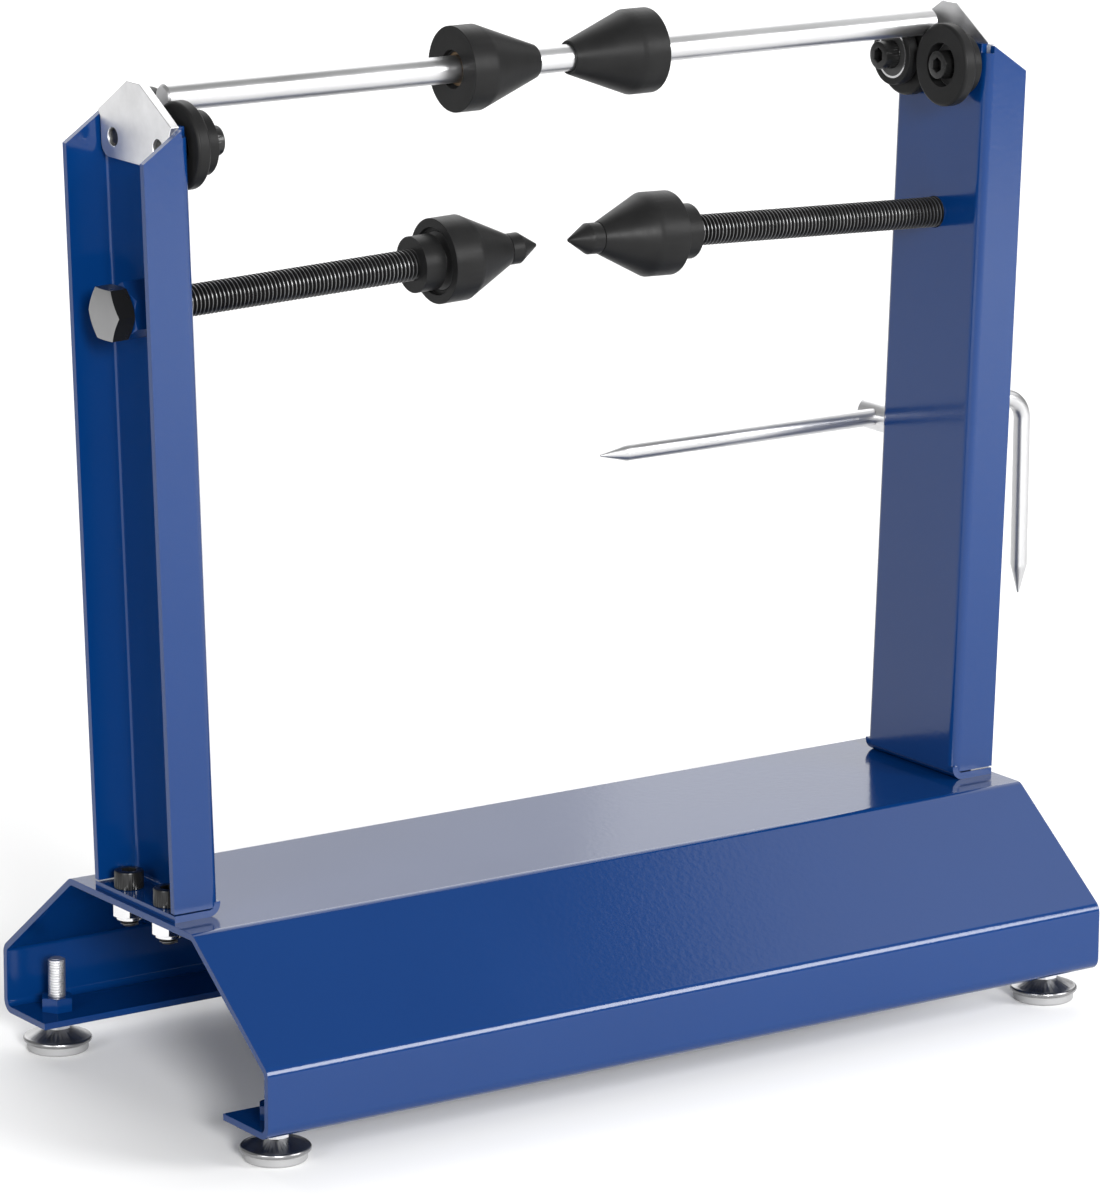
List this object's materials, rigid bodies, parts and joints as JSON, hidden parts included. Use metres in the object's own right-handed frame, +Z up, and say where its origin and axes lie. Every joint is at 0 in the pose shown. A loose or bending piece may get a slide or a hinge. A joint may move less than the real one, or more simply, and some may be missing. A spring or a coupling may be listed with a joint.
{
  "type": "motorcycle wheel balancer",
  "caption": "Bench stand for balancing and truing motorcycle wheels, with a coned shaft on ball-bearing rollers, facing truing screws and levelling feet.",
  "frame": {"origin": "on the bench under the middle of the base, between the four feet", "axes": "+X along the shaft to the upright that carries the pointer, +Y to the pointer's side, +Z up"},
  "size_m": [0.5386, 0.225, 0.4626],
  "materials": {
    "blue_powder_coat": "gloss powder coat with slight orange peel",
    "zinc": "bright zinc plate",
    "chrome": "polished chrome",
    "ground_steel": "ground bearing steel",
    "black_oxide": "black oxide, slightly oily",
    "black_turned": "satin black over turned steel",
    "bronze": "plain oiled bronze",
    "nylon": "moulded nylon, matt"
  },
  "bodies": {
    "frame": {"base": "blue_powder_coat", "left_upright": "blue_powder_coat", "right_upright": "blue_powder_coat", "upright_screws": "black_oxide", "upright_nuts": "zinc", "left_roller_plate": "zinc", "right_roller_plate": "zinc", "long_roller_bolts": "black_oxide", "short_roller_bolts": "black_oxide", "long_roller_spacers": "ground_steel", "short_roller_spacers": "ground_steel", "roller_bearing_inner_rings": "ground_steel", "truing_weld_nuts": "blue_powder_coat", "foot_weld_nuts": "blue_powder_coat"},
    "shaft": {"shaft": "chrome"},
    "eye_bolt": {"pointer_eye_bolt": "zinc", "pointer_eye_nut": "zinc"},
    "pointer": {"pointer": "chrome"},
    "left_front_roller": {"left_front_roller": "black_turned", "left_front_bearing": "ground_steel"},
    "left_rear_roller": {"left_rear_roller": "black_turned", "left_rear_bearing": "ground_steel"},
    "left_shaft_cone": {"left_shaft_cone": "black_turned", "left_cone_bush": "bronze"},
    "left_truing_bearing": {"left_truing_bearing": "ground_steel"},
    "left_truing_screw": {"left_truing_screw": "black_oxide", "left_truing_spindle": "black_turned", "left_truing_point": "black_turned"},
    "left_truing_cone": {"left_truing_cone": "black_turned"},
    "right_front_roller": {"right_front_roller": "black_turned", "right_front_bearing": "ground_steel"},
    "right_rear_roller": {"right_rear_roller": "black_turned", "right_rear_bearing": "ground_steel"},
    "right_shaft_cone": {"right_shaft_cone": "black_turned", "right_cone_bush": "bronze"},
    "right_truing_bearing": {"right_truing_bearing": "ground_steel"},
    "right_truing_screw": {"right_truing_screw": "black_oxide", "right_truing_spindle": "black_turned", "right_truing_point": "black_turned"},
    "right_truing_cone": {"right_truing_cone": "black_turned"},
    "front_left_foot_pad": {"front_left_foot_pad": "nylon"},
    "front_left_foot_stud": {"front_left_foot_cup": "zinc", "front_left_foot_stud": "zinc"},
    "front_right_foot_pad": {"front_right_foot_pad": "nylon"},
    "front_right_foot_stud": {"front_right_foot_cup": "zinc", "front_right_foot_stud": "zinc"},
    "rear_left_foot_pad": {"rear_left_foot_pad": "nylon"},
    "rear_left_foot_stud": {"rear_left_foot_cup": "zinc", "rear_left_foot_stud": "zinc"},
    "rear_right_foot_pad": {"rear_right_foot_pad": "nylon"},
    "rear_right_foot_stud": {"rear_right_foot_cup": "zinc", "rear_right_foot_stud": "zinc"}
  },
  "joints": [
    {"name": "shaft_spin", "type": "hinge", "parent": "frame", "child": "shaft", "pos_m": [0, 0, 0.44358], "axis": [1, 0, 0], "continuous": true},
    {"name": "left_front_roller_spin", "type": "hinge", "parent": "frame", "child": "left_front_roller", "pos_m": [-0.20277, -0.0185, 0.42639], "axis": [0.9994, 0, 0.0349], "continuous": true},
    {"name": "left_rear_roller_spin", "type": "hinge", "parent": "frame", "child": "left_rear_roller", "pos_m": [-0.20277, 0.0185, 0.42639], "axis": [0.9994, 0, 0.0349], "continuous": true},
    {"name": "left_shaft_cone_slide", "type": "slide", "parent": "shaft", "child": "left_shaft_cone", "axis": [-1, 0, 0], "range_m": [-0.008, 0.128]},
    {"name": "left_truing_feed", "type": "slide", "parent": "frame", "child": "left_truing_bearing", "axis": [-0.9994, 0, -0.0349], "range_m": [0, 0.126]},
    {"name": "left_truing_turn", "type": "hinge", "parent": "left_truing_bearing", "child": "left_truing_screw", "pos_m": [-0.08875, 0, 0.35903], "axis": [-0.9994, 0, -0.0349], "range_deg": [-90, 22770]},
    {"name": "left_truing_cone_spin", "type": "hinge", "parent": "left_truing_bearing", "child": "left_truing_cone", "pos_m": [-0.08875, 0, 0.35903], "axis": [0.9994, 0, 0.0349], "continuous": true},
    {"name": "right_front_roller_spin", "type": "hinge", "parent": "frame", "child": "right_front_roller", "pos_m": [0.20277, -0.0185, 0.42639], "axis": [0.9994, 0, -0.0349], "continuous": true},
    {"name": "right_rear_roller_spin", "type": "hinge", "parent": "frame", "child": "right_rear_roller", "pos_m": [0.20277, 0.0185, 0.42639], "axis": [0.9994, 0, -0.0349], "continuous": true},
    {"name": "right_shaft_cone_slide", "type": "slide", "parent": "shaft", "child": "right_shaft_cone", "axis": [1, 0, 0], "range_m": [-0.008, 0.14]},
    {"name": "right_truing_feed", "type": "slide", "parent": "frame", "child": "right_truing_bearing", "axis": [0.9994, 0, -0.0349], "range_m": [0, 0.136]},
    {"name": "right_truing_turn", "type": "hinge", "parent": "right_truing_bearing", "child": "right_truing_screw", "pos_m": [0.08875, 0, 0.35903], "axis": [0.9994, 0, -0.0349], "range_deg": [-90, 24570]},
    {"name": "right_truing_cone_spin", "type": "hinge", "parent": "right_truing_bearing", "child": "right_truing_cone", "pos_m": [0.08875, 0, 0.35903], "axis": [0.9994, 0, -0.0349], "continuous": true},
    {"name": "front_left_foot_height", "type": "slide", "parent": "frame", "child": "front_left_foot_pad", "axis": [0, 0, 1], "range_m": [-0.0165, 0.0007]},
    {"name": "front_left_foot_turn", "type": "hinge", "parent": "front_left_foot_pad", "child": "front_left_foot_stud", "pos_m": [-0.209, -0.0925, 0], "axis": [0, 0, 1], "range_deg": [-4680, 180]},
    {"name": "front_right_foot_height", "type": "slide", "parent": "frame", "child": "front_right_foot_pad", "axis": [0, 0, 1], "range_m": [-0.0165, 0.0007]},
    {"name": "front_right_foot_turn", "type": "hinge", "parent": "front_right_foot_pad", "child": "front_right_foot_stud", "pos_m": [0.209, -0.0925, 0], "axis": [0, 0, 1], "range_deg": [-4680, 180]},
    {"name": "rear_left_foot_height", "type": "slide", "parent": "frame", "child": "rear_left_foot_pad", "axis": [0, 0, 1], "range_m": [-0.0165, 0.0007]},
    {"name": "rear_left_foot_turn", "type": "hinge", "parent": "rear_left_foot_pad", "child": "rear_left_foot_stud", "pos_m": [-0.209, 0.0925, 0], "axis": [0, 0, 1], "range_deg": [-4680, 180]},
    {"name": "rear_right_foot_height", "type": "slide", "parent": "frame", "child": "rear_right_foot_pad", "axis": [0, 0, 1], "range_m": [-0.0165, 0.0007]},
    {"name": "rear_right_foot_turn", "type": "hinge", "parent": "rear_right_foot_pad", "child": "rear_right_foot_stud", "pos_m": [0.209, 0.0925, 0], "axis": [0, 0, 1], "range_deg": [-4680, 180]},
    {"name": "pointer_swing", "type": "hinge", "parent": "frame", "child": "eye_bolt", "pos_m": [0.21681, 0.0453, 0.25], "axis": [0, 1, 0], "range_deg": [-40, 40]},
    {"name": "pointer_slide", "type": "slide", "parent": "eye_bolt", "child": "pointer", "axis": [1, 0, 0], "range_m": [-0.055, 0.12]}
  ],
  "couplings": [
    {"joint": "left_front_roller_spin", "follows": "shaft_spin", "ratio": -0.31579},
    {"joint": "left_rear_roller_spin", "follows": "shaft_spin", "ratio": -0.31579},
    {"joint": "left_truing_turn", "follows": "left_truing_feed", "rad_per_m": 3141.6},
    {"joint": "right_front_roller_spin", "follows": "shaft_spin", "ratio": -0.31579},
    {"joint": "right_rear_roller_spin", "follows": "shaft_spin", "ratio": -0.31579},
    {"joint": "right_truing_turn", "follows": "right_truing_feed", "rad_per_m": 3141.6},
    {"joint": "front_left_foot_height", "follows": "front_left_foot_turn", "m_per_rad": 0.00019894},
    {"joint": "front_right_foot_height", "follows": "front_right_foot_turn", "m_per_rad": 0.00019894},
    {"joint": "rear_left_foot_height", "follows": "rear_left_foot_turn", "m_per_rad": 0.00019894},
    {"joint": "rear_right_foot_height", "follows": "rear_right_foot_turn", "m_per_rad": 0.00019894}
  ]
}
